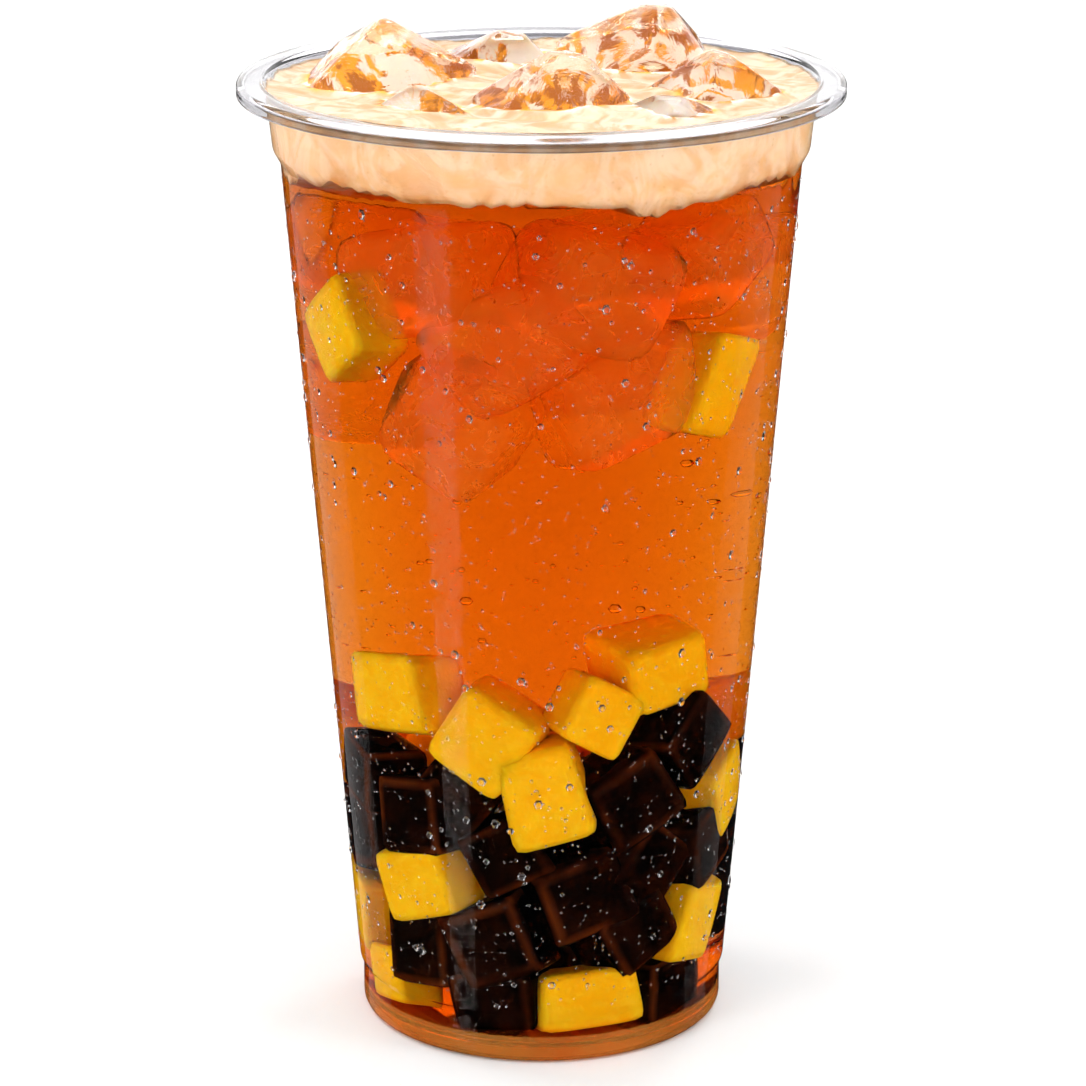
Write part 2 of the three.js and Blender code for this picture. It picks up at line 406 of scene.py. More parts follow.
for name, (azimuth, width, radiance) in STRIPS.items():
    strip_light(name, azimuth, STRIP_DISTANCE, width, STRIP_LOW, STRIP_HIGH, radiance)
for number, azimuth in enumerate(WINDOW_AZIMUTHS):
    window = (azimuth, WINDOW_DISTANCE, WINDOW_WIDTH, WINDOW_LOW, WINDOW_HIGH, WINDOW_RADIANCE, WINDOW_LEAN)
    strip_light(f"window_{number}", *window)
print(len(STRIPS), "strips and", len(WINDOW_AZIMUTHS), "windows of light")

# %% [markdown]
# Light crosses many clear walls here, so it may bounce often, but a pixel that
# has settled early is left alone, and the denoiser smooths what is left.

# %% How light is followed
scene = bpy.context.scene
scene.view_settings.view_transform = "Standard"
scene.cycles.use_denoising = True
scene.cycles.adaptive_threshold = 0.1
scene.cycles.adaptive_min_samples = 10
scene.cycles.max_bounces = 20
scene.cycles.transmission_bounces = 20
scene.cycles.glossy_bounces = 8
scene.cycles.diffuse_bounces = 4
scene.cycles.transparent_max_bounces = 16
scene.cycles.sample_clamp_indirect = 6.0
scene.cycles.blur_glossy = 0.0

# %% [markdown]
# ## The cup
#
# The cup is pressed from clear sheet: a foot with a small step, a long taper,
# a wider stacking band and a rolled rim. It could be spun from a curve with
# the Screw modifier. Here its outline is a short list of corners, each with
# its own rounding, and the outline is turned about the axis, which keeps every
# size in sight. The long straight runs are split up so that the smooth
# shading of a corner does not bleed along the wall.

# %% Rounded outline
CORNER_STEPS = 6
RUN_STEP = 3.0
CUP_SIDES = 160


def rounded(corners):
    """An outline of (radius, height, rounding) corners, each replaced by an arc that touches both sides."""
    points = [np.array(corners[0][:2], float)]
    for before, corner, after in zip(corners[:-2], corners[1:-1], corners[2:]):
        here = np.array(corner[:2], float)
        back = np.array(before[:2]) - here
        ahead = np.array(after[:2]) - here
        back, ahead = back / np.linalg.norm(back), ahead / np.linalg.norm(ahead)
        half = math.acos(np.clip(back @ ahead, -1, 1)) / 2
        reach = corner[2] / math.tan(half)
        middle = (back + ahead) / np.linalg.norm(back + ahead) * corner[2] / math.sin(half)
        start, stop = back * reach - middle, ahead * reach - middle
        for share in np.linspace(0, 1, CORNER_STEPS):
            spoke = start * (1 - share) + stop * share
            points.append(here + middle + spoke / np.linalg.norm(spoke) * corner[2])
    points.append(np.array(corners[-1][:2], float))
    return np.array(points)


def split_runs(points):
    """The same outline with its long straight runs cut into steps of at most RUN_STEP."""
    pieces = []
    for start, stop in zip(points[:-1], points[1:]):
        count = max(1, math.ceil(np.linalg.norm(stop - start) / RUN_STEP))
        pieces.append(start + (stop - start) * np.arange(count)[:, None] / count)
    return np.vstack(pieces + [points[-1:]])


RECESS_RADIUS, RECESS_HEIGHT, FOOT_INSIDE = 24.4, 2.2, 26.2
LIP_ROOT, LIP_EDGE, LIP_HOLLOW = 45.25, 1.0, 1.3
CUP_OUTLINE = [
    (0, RECESS_HEIGHT, 0), (RECESS_RADIUS, RECESS_HEIGHT, 1.2), (FOOT_INSIDE, 0, 0.9),
    (FOOT_RADIUS, 0, 1.9), (FOOT_RADIUS, STEP_LOW, 0.5), (STEP_RADIUS, STEP_HIGH, 0.6),
    (TAPER_RADIUS, BAND_LOW, 1.6), (BAND_RADIUS, BAND_HIGH, 2.2), (NECK_RADIUS, LIP_BOTTOM, 0.5),
    (LIP_ROOT, LIP_BOTTOM + LIP_HOLLOW, 0.4), (RIM_RADIUS - LIP_EDGE, LIP_BOTTOM + LIP_HOLLOW, 0.4),
    (RIM_RADIUS - LIP_EDGE, LIP_BOTTOM, 0.35), (RIM_RADIUS, LIP_BOTTOM, 0.35), (RIM_RADIUS, CUP_HEIGHT, 0.9),
    (LIP_RADIUS - WALL, CUP_HEIGHT, 0.4), (NECK_RADIUS - WALL, LIP_BOTTOM, 1.2),
    (BAND_RADIUS - WALL, BAND_HIGH, 2.2), (TAPER_RADIUS - WALL, BAND_LOW, 1.6),
    (STEP_RADIUS - WALL, STEP_HIGH, 0.6), (FOOT_RADIUS - WALL, STEP_LOW, 0.5),
    (FOOT_RADIUS - WALL, FLOOR_TOP, 1.4), (0, FLOOR_TOP, 0),
]

# %% [markdown]
# The same plastic looks different in three places. It is clear and faintly misted on the wall. It is painted
# grey on the rim, as painted shade. In the foot it is painted amber, as painted light that stands for the
# tea's colour carried down into it. The three are slots of one mesh, chosen by the height of each face.

# %% Clear plastic, and the cup
FINISH_MARGIN = 0.5


def clear_plastic():
    """The thin wall: clear, with patches of mist that only roughen it."""
    finish = Finish("clear_plastic", Roughness=0.02, IOR=1.14, Transmission_Weight=1.0)
    mist = finish.pattern(MOTTLE, Scale=35.0, Low=0.45, High=0.75)
    finish.feed("Base Color", finish.blend(mist, (0.995, 0.997, 1.0), (0.98, 0.985, 0.99)))
    finish.feed("Roughness", finish.spread(mist, 0.0, 0.06))
    return finish.material


def rim_painted_shade():
    """The thick rolled rim, painted grey as painted shade, so less light comes through it than through the
    wall.
    """
    finish = Finish("rim_painted_shade", Roughness=0.03, IOR=1.14, Transmission_Weight=1.0)
    mist = finish.pattern(MOTTLE, Scale=60.0, Low=0.4, High=0.7)
    # Painted shade: the grey in the rim's colour dims the light that comes through it.
    finish.feed("Base Color", finish.blend(mist, (0.6, 0.59, 0.61), (0.5, 0.49, 0.51)))
    finish.feed("Roughness", finish.spread(mist, 0.03, 0.12))
    return finish.material


def foot_painted_tea_glow():
    """The floor and foot, painted amber: painted light for the tea's colour carried down into the clear
    plastic.
    """
    finish = Finish("clear_foot", Roughness=0.05, IOR=1.1, Transmission_Weight=0.82)
    mist = finish.pattern(MOTTLE, Scale=60.0, Low=0.4, High=0.7)
    # Painted light: the amber in the foot's colour stands for the tea's glow carried down into it.
    finish.feed("Base Color", finish.blend(mist, (1.0, 0.42, 0.08), (0.85, 0.3, 0.05)))
    finish.feed("Roughness", finish.spread(mist, 0.03, 0.15))
    return finish.material


cup_profile = split_runs(rounded(CUP_OUTLINE))
cup_points, cup_faces = turned(cup_profile, CUP_SIDES)
cup = put_piece("cup_shell", cup_points, cup_faces, clear_plastic(), "clear_plastic", ["cup"])
cup.data.materials.append(rim_painted_shade())
cup.data.materials.append(foot_painted_tea_glow())
face_heights = np.array([polygon.center.z for polygon in cup.data.polygons]) / MM
in_rim = face_heights > LIP_BOTTOM - FINISH_MARGIN
in_foot = face_heights < FLOOR_TOP + FINISH_MARGIN
finish_number = np.where(in_rim, 1, np.where(in_foot, 2, 0))
cup.data.polygons.foreach_set("material_index", finish_number.astype(np.int32))

# %% [markdown]
# ## Ice
#
# Each lump of ice is a few flat faces with corners that have melted round.
# A box with a bevel would be too regular. Instead rays leave the lump's
# heart in all directions, and each ray's length comes from all the faces at
# once: the sum of a high power of (ray . normal / distance) over the faces,
# taken to minus one over that power. A higher power gives crisper edges.
# A few scoops, where the lump has melted against its neighbours, dent it.

# %% Rays, faces and scoops of an ice lump
ICE_FLARE = 0.5
ICE_UNDERSIDES = 5
ICE_UNEVENNESS = 0.3
ICE_FLAT_BOTTOM = 0.72
ICE_HEART = 0.25
ICE_SCATTER = 5
ICE_TOP_TILT = 0.12
ICE_CRISPNESS = 44
SIDE_OFFSET = 0.5
SCOOP_COUNT, SCOOP_DEPTH = 9, 0.022
SCOOP_WIDTHS = (0.25, 0.6)
BLOCK_STEPS = 26
ICE_COLUMNS = ("x", "y", "long", "wide", "turn", "sides", "rise", "lean", "top", "depth")
ICE = {
    "ice_left": (-25.2, 4.8, 13.6, 9.6, 22, 4, 11.6, 0, 0.95, 19),
    "ice_front_left": (-19.2, -16, 8.2, 5.6, -48, 4, 4.2, 0, 0.85, 12),
    "ice_back_left": (-7.4, 24.2, 9, 6.8, -8, 5, 6.6, 0.4, 0.78, 15),
    "ice_centre": (1.4, -13.2, 11.8, 10.2, 10, 5, 11, 0.25, 0.8, 18),
    "ice_back_right": (16.4, 22.6, 12.2, 9.8, -20, 4, 12, 0.3, 0.86, 20),
    "ice_right": (28, -3.2, 10.2, 8.2, -30, 5, 8, 0, 0.84, 16),
    "ice_front_right": (20.2, -18.6, 7, 5.4, -24, 5, 3.8, 0, 0.56, 11),
}


def block_rays(steps):
    """Rays through a grid on each of a cube's six sides, and the faces between them, with edges merged."""
    line = np.tan(np.linspace(-np.pi / 4, np.pi / 4, steps + 1))
    u, v = np.meshgrid(line, line, indexing="ij")
    one = np.ones_like(u)
    sides = [(one, u, v), (-one, v, u), (v, one, u), (u, -one, v), (u, v, one), (v, u, -one)]
    points = np.stack([np.stack(side, axis=-1).reshape(-1, 3) for side in sides]).reshape(-1, 3)
    cell = np.arange((steps + 1) ** 2).reshape(steps + 1, steps + 1)
    quads = np.stack([cell[:-1, :-1], cell[1:, :-1], cell[1:, 1:], cell[:-1, 1:]], axis=-1).reshape(-1, 4)
    quads = (quads[None] + (np.arange(6) * (steps + 1) ** 2)[:, None, None]).reshape(-1, 4)
    _, first, merged = np.unique(np.round(points, 6), axis=0, return_index=True, return_inverse=True)
    rays = points[first]
    return rays / np.linalg.norm(rays, axis=1, keepdims=True), merged.reshape(-1)[quads].tolist()


def ice_faces(lump):
    """Normals and distances, from the heart, of a lump's roof, sides, underside, flat top and bottom."""
    turn = math.radians(lump["turn"])
    heart = np.array([0, 0, -ICE_HEART * lump["depth"]])
    normals = []
    reaches = []

    def ring(count, flare, slope, lean, offset):
        """Faces round the lump: unevenly spaced, as far out as its ellipse, leaning by the slope."""
        number = np.arange(count)
        shift = offset + ICE_UNEVENNESS * np.sin(ICE_SCATTER * number + lump["turn"])
        azimuth = (number + shift) * 2 * np.pi / count
        reach = np.hypot(lump["long"] * np.cos(azimuth), lump["wide"] * np.sin(azimuth)) + flare
        across = np.cos(azimuth + turn) / reach
        normals.append(np.stack([across, np.sin(azimuth + turn) / reach, slope - lean * across], axis=-1))
        reaches.append(np.ones(count))

    ring(lump["sides"], 0, 1 / lump["rise"], lump["lean"], SIDE_OFFSET)
    ring(lump["sides"], ICE_FLARE, 0, 0, SIDE_OFFSET)
    ring(ICE_UNDERSIDES, ICE_FLARE, -1 / lump["depth"], 0, 0)
    tilt = ICE_TOP_TILT * np.array([math.cos(turn), math.sin(turn)])
    normals.append(np.array([[*tilt, 1], [0, 0, -1]]))
    reaches.append(np.array([lump["top"] * lump["rise"], ICE_FLAT_BOTTOM * lump["depth"]]))
    normals, reaches = np.vstack(normals), np.concatenate(reaches)
    length = np.linalg.norm(normals, axis=1)
    return normals / length[:, None], (reaches - normals @ heart) / length, heart


def ice_size(lump, rays, shrink, crispness):
    """Length of each ray: the sum over faces of (ray . normal / distance) ^ power, to minus one over it."""
    normals, distances, _ = ice_faces(lump)
    across = np.maximum(rays @ normals.T / (distances - shrink), 0)
    return (across ** crispness).sum(axis=1) ** (-1 / crispness)


def scoops(rays, seed, count, depth):
    """Shallow round dents: a sum of bumps, each falling off with the squared distance from its own ray."""
    chance = np.random.default_rng(seed)
    middles = chance.normal(size=(count, 3))
    middles /= np.linalg.norm(middles, axis=1, keepdims=True)
    widths = chance.uniform(*SCOOP_WIDTHS, count)
    away = ((rays[:, None, :] - middles[None]) ** 2).sum(axis=-1)
    return depth * np.exp(-away / widths ** 2).sum(axis=1)


def ice_points(lump, rays, shrink, seed):
    """Points of a lump: each ray at its length, less its scoops, set at the lump's place in the foam."""
    heart = ice_faces(lump)[2]
    melted = 1 - scoops(rays, seed, SCOOP_COUNT, SCOOP_DEPTH)
    length = ice_size(lump, rays, shrink, ICE_CRISPNESS) * melted
    return rays * length[:, None] + heart + np.array([lump["x"], lump["y"], FOAM_TOP])


# %% [markdown]
# Wet ice is clear, with frosty patches and a surface that has melted into soft waves. A little bump stands
# for the waves. They bend the amber seen from below, which comes partly from the tea under the foam and
# partly from painted light on the foam around the ice.

# %% Wet ice, and the lumps that stand out of the foam


def wet_ice():
    """Clear glass with a bumped surface; frost greys it and roughens it a little."""
    finish = Finish("wet_ice", Roughness=0.02, IOR=1.27, Transmission_Weight=1.0)
    frost = finish.pattern(MOTTLE, Scale=170.0, Low=0.52, High=0.72, Warp=1.5)
    finish.feed("Base Color", finish.blend(frost, (1.0, 0.995, 0.985), (0.97, 0.95, 0.93)))
    finish.feed("Roughness", finish.spread(frost, 0.0, 0.05))
    finish.bump(finish.pattern(MOTTLE, Scale=110.0, Low=0.3, High=0.7, Warp=1.0), 0.35, 0.8)
    return finish.material


ICE_FINISH = wet_ice()
RAYS, RAY_FACES = block_rays(BLOCK_STEPS)
LUMPS = {name: dict(zip(ICE_COLUMNS, values)) for name, values in ICE.items()}
for number, (name, lump) in enumerate(LUMPS.items()):
    put_piece("clear_" + name, ice_points(lump, RAYS, 0, number), RAY_FACES, ICE_FINISH, "ice", [name])

# %% [markdown]
# ## Tea and foam
#
# Both fill the cup from wall to wall, so both are drums: a floor, a side and
# a top, with uneven surfaces that are functions of x and y. They reach a little
# into the wall, because a sliver of air between liquid and plastic would
# shine like a mirror. The foam's holes are cut with slightly smaller copies
# of the ice, by a Boolean modifier that is applied at once.

# %% Drums between two surfaces
DRUM_SIDES = 240


def drum(bottom_at, top_at, rings, steps):
    """A closed drum: share s of the radius and share t of the height, with z between two surfaces and the
    radius at each point taken from the cup's inside at that height."""
    out, up = np.linspace(0, 1, rings + 1), np.linspace(0, 1, steps + 1)
    share = np.concatenate([out, np.ones(steps - 1), out[::-1]])
    level = np.concatenate([0 * out, up[1:-1], 0 * out + 1])
    angle = np.linspace(0, 2 * np.pi, DRUM_SIDES, endpoint=False)
    share, level = share[1:-1, None], level[1:-1, None]
    guess = share * wall_inside(np.where(level > 0.5, FOAM_TOP, FOAM_BOTTOM))
    x, y = guess * np.cos(angle), guess * np.sin(angle)
    height = bottom_at(x, y) * (1 - level) + top_at(x, y) * level
    radius = share * (wall_inside(height) + INTO_WALL)
    ring = np.stack([radius * np.cos(angle), radius * np.sin(angle), height], axis=-1)
    zero = np.zeros(1)
    poles = [[0, 0, bottom_at(zero, zero)[0]], [0, 0, top_at(zero, zero)[0]]]
    return np.vstack([ring.reshape(-1, 3), poles]), closed_faces(len(share), DRUM_SIDES)


FOAM_SAG = 1.25


def foam_bottom(x, y):
    """Where foam sinks into tea: slow sine lumps round the wall, with beads and froth between them."""
    turn = np.arctan2(y, x)
    lumps = 0.7 * np.sin(3 * turn + 1.2) + 0.5 * np.sin(7 * turn) + 0.4 * np.cos(x / 6) * np.cos(y / 5)
    beads = 0.6 * np.sin(13 * turn + 2 * np.sin(5 * turn)) * np.sin(4 * turn)
    froth = 0.3 * np.sin(47 * turn + 3 * np.sin(11 * turn))
    return FOAM_BOTTOM + FOAM_SAG * (lumps + (beads + froth))


def ice_gap(spots):
    """Distance from each spot to the nearest lump of ice, along the ray to that lump's heart."""
    gaps = []
    for lump in LUMPS.values():
        from_heart = spots - np.array([lump["x"], lump["y"], FOAM_TOP]) - ice_faces(lump)[2]
        far = np.linalg.norm(from_heart, axis=1)
        gaps.append(far - ice_size(lump, from_heart / far[:, None], 0, ICE_CRISPNESS))
    return np.maximum(np.min(gaps, axis=0), 0)


SWIRL_HEIGHT = 0.35
COLLAR_CLIMB, COLLAR_REACH = 0.7, 1.3
WALL_CLIMB, WALL_REACH = 0.5, 0.8


def foam_top(x, y):
    """Low swirls, streaks that bend with them, and a collar that climbs each lump of ice and the wall."""
    turn, reach = np.arctan2(y, x), np.hypot(x, y)
    swirl = np.sin(2 * turn + reach / 6) + 0.6 * np.sin(x / 5 + y / 9) * np.cos(y / 6)
    bend = y / 1.7 + 1.8 * np.sin(x / 7 + 0.6) + 1.2 * np.sin(x / 3.1 + y / 8)
    streaks = 0.22 * np.sin(bend) * (0.5 + 0.5 * np.sin(x / 9 - y / 11)) + 0.1 * np.sin(2.7 * bend + x / 2)
    height = FOAM_TOP + SWIRL_HEIGHT * swirl + streaks
    spot = np.stack([x, y, np.full_like(x, FOAM_TOP)], axis=-1).reshape(-1, 3)
    collar = COLLAR_CLIMB * np.exp(-ice_gap(spot) / COLLAR_REACH)
    rim = WALL_CLIMB * np.exp(-(wall_inside(FOAM_TOP) - reach) / WALL_REACH)
    return height + collar.reshape(x.shape) + rim


SHARP_ANGLE = math.radians(40)


def carve(piece, cutter_points, cutter_faces):
    """Cuts a closed mesh out of a piece with a Boolean, and keeps only the result."""
    mesh = bpy.data.meshes.new("cutter")
    mesh.from_pydata((cutter_points * MM).tolist(), [], cutter_faces)
    cutter = bpy.data.objects.new("cutter", mesh)
    bpy.context.scene.collection.objects.link(cutter)
    cut = piece.modifiers.new("cut", "BOOLEAN")
    cut.operation, cut.solver, cut.object = "DIFFERENCE", "MANIFOLD", cutter
    settled = piece.evaluated_get(bpy.context.evaluated_depsgraph_get())
    done = bpy.data.meshes.new_from_object(settled)
    piece.modifiers.clear()
    piece.data = done
    done.shade_smooth()
    done.set_sharp_from_angle(angle=SHARP_ANGLE)
    bpy.data.objects.remove(cutter)
    print(f"{piece.name}: {len(done.polygons)} faces after cutting")


def joined(parts):
    """Several closed shapes, each (points, faces), as one list of points and one of faces."""
    starts = np.cumsum([0] + [len(points) for points, _ in parts[:-1]])
    faces = [[corner + start for corner in face] for start, (_, each) in zip(starts, parts) for face in each]
    return np.vstack([points for points, _ in parts]), faces


# %% [markdown]
# Tea has no colour of its own surface: light loses its blue, and then its
# green, on the way through. A tinted surface would be as dark at the thin
# edge as in the middle, so the colour comes from absorption in the volume,
# worked out from the colour that is left after one crossing of the cup.

# %% Amber tea
TEA_PATH = 80.0
TEA_GLOW = np.array([0.58, 0.066, 0.0003])
DENSITY_MARGIN = 1.02
TEA_OVERLAP = 0.5
ICE_OVERLAP = 0.15
TEA_RINGS, TEA_STEPS = 40, 60


def amber_tea():
    """Tea whose absorption lets the colour TEA_GLOW through after TEA_PATH millimetres."""
    finish = Finish("amber_tea", Roughness=0.0, IOR=1.28, Transmission_Weight=1.0)
    cloud = finish.pattern(MOTTLE, Scale=40.0, Low=0.35, High=0.65)
    finish.feed("Base Color", finish.blend(cloud, (1.0, 1.0, 1.0), (1.0, 0.985, 0.96)))
    falloff = -np.log(TEA_GLOW) / (TEA_PATH * MM)
    density = float(falloff.max() * DENSITY_MARGIN)
    finish.absorb(tuple((1 - falloff / density).tolist()), density)
    return finish.material


def tea_top(x, y):
    """The tea's surface, which reaches a little into the foam."""
    return foam_bottom(x, y) + TEA_OVERLAP


def tea_bottom(x, y):
    """The tea's flat underside, which reaches a little into the cup's floor."""
    return FLOOR_TOP - INTO_WALL + 0 * x


cutter_parts = []
for number, lump in enumerate(LUMPS.values()):
    cutter_parts.append((ice_points(lump, RAYS, ICE_OVERLAP, number), RAY_FACES))
cutter = joined(cutter_parts)
tea_shape = drum(tea_bottom, tea_top, TEA_RINGS, TEA_STEPS)
tea = put_piece("tea_body", *tea_shape, amber_tea(), "tea", ["tea"])
carve(tea, *cutter)

# %% [markdown]
# Milk foam is cream in streaks, with fine bubbles and a soft inside. Tea soaks up into its lower edge.
# Beside the ice that stands in it, amber and white are painted on the foam. This is painted light for the
# tea's glow and for bright facets, seen through the ice. The top is painted darker than the side, as painted
# shade against the stronger light from above. Where those happen is a matter of place, so three numbers are
# kept at each point of the mesh: how soaked it is, how near ice and how far up.

# %% Milk foam
FOAM_RINGS, FOAM_STEPS = 110, 18
SOAK_REACH = 4.5
ICE_GLOW_REACH = 0.4
TOP_BLEND = 1.5


def milk_foam():
    """Streaked cream with stains and pits, amber where tea soaks it, a darker top as painted shade, and a
    painted amber glow with painted white highlights beside ice.
    """
    finish = Finish("milk_foam", Roughness=0.45, IOR=1.35)
    finish.shader.inputs["Subsurface Weight"].default_value = 0.2
    finish.shader.inputs["Subsurface Radius"].default_value = (1.0, 0.6, 0.3)
    finish.shader.inputs["Subsurface Scale"].default_value = 1.2 * MM
    streaks = finish.pattern(MOTTLE, Scale=90.0, Low=0.36, High=0.64, Warp=3.0)
    stain = finish.pattern(MOTTLE, Scale=150.0, Low=0.5, High=0.72, Warp=1.0)
    pits = finish.pattern(PITS, Scale=700.0, Radius=0.2)
    # Painted shade: the top's cream is darker than the side's, to offset the stronger light that falls on it
    # from above.
    side = finish.blend(streaks, (0.95, 0.6, 0.31), (0.97, 0.75, 0.51))
    top = finish.blend(streaks, (0.54, 0.34, 0.18), (0.7, 0.57, 0.42))
    cream = finish.blend(finish.attribute("upward"), side, top)
    cream = finish.blend(finish.spread(stain, 0.0, 0.3), cream, (0.9, 0.52, 0.2))
    cream = finish.blend(finish.spread(pits, 0.0, 0.6), cream, (0.7, 0.36, 0.12))
    pocket = finish.pattern(MOTTLE, Scale=75.0, Low=0.45, High=0.58, Warp=1.0)
    soaked = finish.times(finish.attribute("soak"), finish.spread(pocket, 0.55, 1.0))
    cream = finish.blend(soaked, cream, (0.6, 0.2, 0.02))
    # Painted light beside the ice: amber stands for the tea's glow and white patches are painted highlights,
    # both seen through the ice.
    glow_patches = finish.pattern(MOTTLE, Scale=160.0, Low=0.45, High=0.55, Warp=2.0)
    amber = finish.blend(glow_patches, (1.0, 0.46, 0.03), (0.5, 0.16, 0.01))
    clear = finish.pattern(MOTTLE, Scale=120.0, Low=0.5, High=0.56, Warp=2.0)
    beside_ice = finish.blend(clear, amber, (1.0, 0.97, 0.86))
    finish.feed("Base Color", finish.blend(finish.attribute("beside_ice"), cream, beside_ice))
    finish.bump(streaks, 0.3, 0.5)
    return finish.material


def keep_values(piece, name, values):
    """Stores one number for each point of a mesh, for its material to read."""
    layer = piece.data.attributes.new(name, "FLOAT", "POINT")
    layer.data.foreach_set("value", np.asarray(values, np.float32))


foam_shape = drum(foam_bottom, foam_top, FOAM_RINGS, FOAM_STEPS)
foam = put_piece("milk_foam_layer", *foam_shape, milk_foam(), "milk_foam", ["foam"])
carve(foam, *cutter)
spots = np.empty(3 * len(foam.data.vertices))
foam.data.vertices.foreach_get("co", spots)
spots = spots.reshape(-1, 3) / MM
above = spots[:, 2] - foam_bottom(spots[:, 0], spots[:, 1])
keep_values(foam, "soak", np.exp(-np.maximum(above, 0) / SOAK_REACH))
# How near ice: this sets where the painted amber glow and highlights go.
keep_values(foam, "beside_ice", np.exp(-ice_gap(spots) / ICE_GLOW_REACH))
# How far up: this sets where the painted shade darkens the foam's top.
keep_values(foam, "upward", np.clip(spots[:, 2] - FOAM_TOP + TOP_BLEND, 0, 1))

# %% [markdown]
# ## Mango, jelly and sunk ice
#
# The pieces in the tea were cut by knife, so each is a block with slightly
# rounded edges and sides that are not quite square. A block is a ray's
# length again: one over the power mean of (ray / half size). The ones that
# show at the front are placed by their azimuth and height on the wall, with
# one side turned to it. The rest fill the cup by seeded chance, and a draw
# that would touch an earlier block is thrown away.

# %% Blocks along the wall and behind them
CUBE_STEPS = 12
EDGE_START, EDGE_FADE = 0.9, 5
CUT_LEAN, CUT_TAPER = 0.1, 0.09
WALL_TILT = 6.0
FLOOR_CLEAR = 0.4
CUBE_RAYS, CUBE_FACES = block_rays(CUBE_STEPS)
CUBE_EDGE = np.sort(np.abs(CUBE_RAYS), axis=1)[:, 1] / np.abs(CUBE_RAYS).max(axis=1)
CUBE_EDGE = np.clip((CUBE_EDGE - EDGE_START) / (1 - EDGE_START), 0, 1) ** EDGE_FADE


def spin(axis, degrees):
    """Rotation matrix about one axis of x, y, z."""
    turn = math.radians(degrees)
    i, j = (axis + 1) % 3, (axis + 2) % 3
    matrix = np.eye(3)
    matrix[i, i] = matrix[j, j] = math.cos(turn)
    matrix[j, i] = math.sin(turn)
    matrix[i, j] = -math.sin(turn)
    return matrix


def block(half, crispness, seed):
    """A knife-cut block: rays scaled by the power mean of (ray / half size), then leaned and tapered."""
    chance = np.random.default_rng(seed)
    lean = np.eye(3) + chance.uniform(-CUT_LEAN, CUT_LEAN, (3, 3)) * (1 - np.eye(3))
    length = (np.abs(CUBE_RAYS / half) ** crispness).sum(axis=1) ** (-1 / crispness)
    points = CUBE_RAYS * length[:, None]
    taper = chance.uniform(-CUT_TAPER, CUT_TAPER, 3)
    points = points * (1 + taper * points[:, [1, 2, 0]] / half[[1, 2, 0]])
    return points @ lean.T


def at_wall(azimuth, height, half, roll, inset, seed, crispness):
    """A block with its x axis out of the cup, rolled about it, as near the wall as its corners allow."""
    chance = np.random.default_rng(seed)
    nod, swing = chance.uniform(-WALL_TILT, WALL_TILT, 2)
    shape = block(half, crispness, seed) @ (spin(1, nod) @ spin(2, swing)).T
    shape = shape @ spin(0, roll).T
    reach = wall_inside(height + shape[:, 2]) - inset
    out = np.min(np.sqrt(np.maximum(reach ** 2 - shape[:, 1] ** 2, 0)) - shape[:, 0])
    shape = shape + np.array([out, 0, height])
    shape[:, 2] += max(0, FLOOR_TOP + FLOOR_CLEAR - shape[:, 2].min())
    return shape @ spin(2, azimuth - 90).T


MANGO_FRONT = [
    (-60, 122, 14, 13.5, 12, 35, 0.4), (56, 113, 11.5, 16.5, 11, -17, 4),
    (-50, 61, 16, 13.5, 13, 10, 0.4), (-18, 56, 14, 14, 14, -35, 1),
    (1, 47, 13, 16.5, 11, 17, 0.4), (18, 60, 11, 11, 10, -32, 3),
    (44, 66, 16, 12, 13, 7, 4), (74, 41, 12, 14, 11, 20, 0.4),
    (-44, 29, 15.5, 12, 12, 16, 0.4), (-82, 19, 12, 13, 11, -8, 0.4),
    (60, 20, 11.5, 14, 11, -16, 0.6), (-62, 7.5, 10, 9.5, 10, 5, 0.4),
    (18, 9, 16.5, 10, 13, 5, 1),
]
JELLY_FRONT = [
    (-44, 41, 13, 13.5, 12, 8, 1), (30, 45, 14, 13.5, 12, 32, 1),
    (53, 53, 12.5, 13, 12, 42, 1), (-11, 36, 12, 12, 11, 25, 2),
    (13, 29, 14.5, 14.5, 13, 24, 1), (-17, 20, 14, 14.5, 12, 24, 0.6),
    (-46, 16, 12.5, 12.5, 12, 14, 1), (33, 21, 13, 11, 12, 24, 1),
    (-17, 8.5, 13.5, 10, 12, 2, 1), (52, 8, 12, 10, 12, 6, 1),
    (63, 33, 12, 13, 12, 15, 1), (-74, 33, 12, 13, 11, 20, 1),
    (-70, 45, 12, 11, 11, -12, 1), (38, 33, 12, 12, 12, 50, 2),
    (-30, 46, 12, 12, 12, 55, 3),
]


def front_blocks(rows, crispness, seed):
    """A block at the wall for each row of (azimuth, height, wide, tall, deep, roll, inset)."""
    parts = []
    for number, (azimuth, height, wide, tall, deep, roll, inset) in enumerate(rows):
        half = np.array([deep, wide, tall]) / 2
        parts.append((at_wall(azimuth, height, half, roll, inset, seed + number, crispness), CUBE_FACES))
    return parts


DROP_BEHIND = 17
BACK_SPREAD = 64
BACK_TOP = 50
BACK_CLEAR = 5


def to_the_back(rows):
    """The lower rows again on the far side of the cup, rolled the other way and lower by DROP_BEHIND."""
    moved = []
    for azimuth, height, wide, tall, deep, roll, inset in rows:
        lower = height - DROP_BEHIND
        if abs(azimuth) < BACK_SPREAD and wide / 2 + BACK_CLEAR < lower < BACK_TOP:
            moved.append((180 - azimuth, lower, wide, tall, deep, -roll, inset))
    return moved


FILL_TRIES = 4000
FILL_INSET, FILL_LIFT, FILL_GAP = 0.8, 0.75, 0.54
BLOCK_FILL = 0.85


